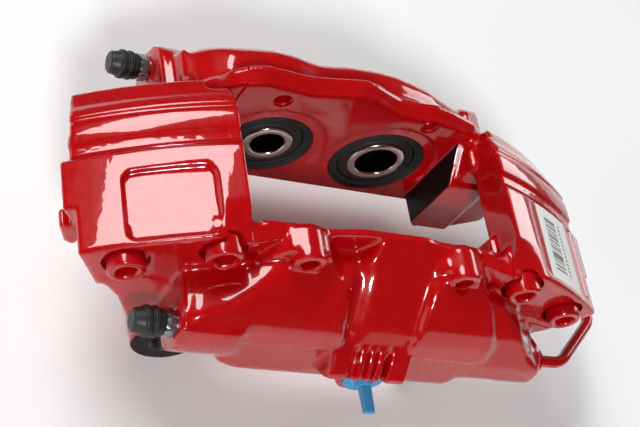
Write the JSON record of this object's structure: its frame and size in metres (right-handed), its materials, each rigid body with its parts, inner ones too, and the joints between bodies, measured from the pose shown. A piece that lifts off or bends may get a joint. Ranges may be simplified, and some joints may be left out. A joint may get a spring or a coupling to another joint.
{
  "type": "brake caliper",
  "caption": "Red two-piece fixed disc brake caliper with opposed pistons, dust boots, bleeder screws, external crossover pipe and a plugged hose port.",
  "frame": {"origin": "midway between the two threaded mounting holes, in the plane of the lug faces", "axes": "+X along the disc's rim from the bleeder end to the crossover pipe end, +Y across the disc to the outboard half, +Z radially outward from the wheel's axis"},
  "size_m": [0.296, 0.1625, 0.115],
  "materials": {
    "red_paint": "gloss",
    "red_paint_steel": "gloss",
    "steel": "satin",
    "piston_steel": "polished",
    "zinc_steel": "satin",
    "seal_rubber": "matte",
    "boot_rubber": "satin",
    "cap_rubber": "satin",
    "blue_plastic": "satin",
    "label": "matte"
  },
  "bodies": {
    "caliper": {"inboard_housing": "red_paint", "outboard_housing": "red_paint", "bridge_bolts": "red_paint_steel", "alignment_dowels": "steel", "crossover_tube": "red_paint_steel", "tube_nuts": "red_paint_steel", "data_label": "label", "piston_seal_inboard_small": "seal_rubber", "boot_ring_inboard_small": "boot_rubber", "piston_seal_inboard_large": "seal_rubber", "boot_ring_inboard_large": "boot_rubber", "piston_seal_outboard_small": "seal_rubber", "boot_ring_outboard_small": "boot_rubber", "piston_seal_outboard_large": "seal_rubber", "boot_ring_outboard_large": "boot_rubber"},
    "piston_inboard_small_body": {"piston_inboard_small": "piston_steel", "boot_lip_inboard_small": "boot_rubber"},
    "piston_inboard_large_body": {"piston_inboard_large": "piston_steel", "boot_lip_inboard_large": "boot_rubber"},
    "bleeder_inboard_body": {"bleeder_screw_inboard": "zinc_steel"},
    "cap_inboard_body": {"bleeder_cap_inboard": "cap_rubber"},
    "piston_outboard_small_body": {"piston_outboard_small": "piston_steel", "boot_lip_outboard_small": "boot_rubber"},
    "piston_outboard_large_body": {"piston_outboard_large": "piston_steel", "boot_lip_outboard_large": "boot_rubber"},
    "bleeder_outboard_body": {"bleeder_screw_outboard": "zinc_steel"},
    "cap_outboard_body": {"bleeder_cap_outboard": "cap_rubber"},
    "plug_body": {"port_plug": "blue_plastic"}
  },
  "joints": [
    {"name": "piston_inboard_small_stroke", "type": "slide", "parent": "caliper", "child": "piston_inboard_small_body", "axis": [0, 1, 0], "range_m": [0, 0.014]},
    {"name": "piston_inboard_large_stroke", "type": "slide", "parent": "caliper", "child": "piston_inboard_large_body", "axis": [0, 1, 0], "range_m": [0, 0.014]},
    {"name": "bleeder_inboard_turn", "type": "hinge", "parent": "caliper", "child": "bleeder_inboard_body", "pos_m": [-0.087, -0.0155, 0.048], "axis": [-1, 0, 0], "range_deg": [0, 360]},
    {"name": "cap_inboard_pull", "type": "slide", "parent": "bleeder_inboard_body", "child": "cap_inboard_body", "axis": [-1, 0, 0], "range_m": [0, 0.016]},
    {"name": "piston_outboard_small_stroke", "type": "slide", "parent": "caliper", "child": "piston_outboard_small_body", "axis": [0, -1, 0], "range_m": [0, 0.014]},
    {"name": "piston_outboard_large_stroke", "type": "slide", "parent": "caliper", "child": "piston_outboard_large_body", "axis": [0, -1, 0], "range_m": [0, 0.014]},
    {"name": "bleeder_outboard_turn", "type": "hinge", "parent": "caliper", "child": "bleeder_outboard_body", "pos_m": [-0.087, 0.1155, 0.048], "axis": [-1, 0, 0], "range_deg": [0, 360]},
    {"name": "cap_outboard_pull", "type": "slide", "parent": "bleeder_outboard_body", "child": "cap_outboard_body", "axis": [-1, 0, 0], "range_m": [0, 0.016]},
    {"name": "plug_pull", "type": "slide", "parent": "caliper", "child": "plug_body", "axis": [0, -1, 0], "range_m": [0, 0.012]}
  ]
}
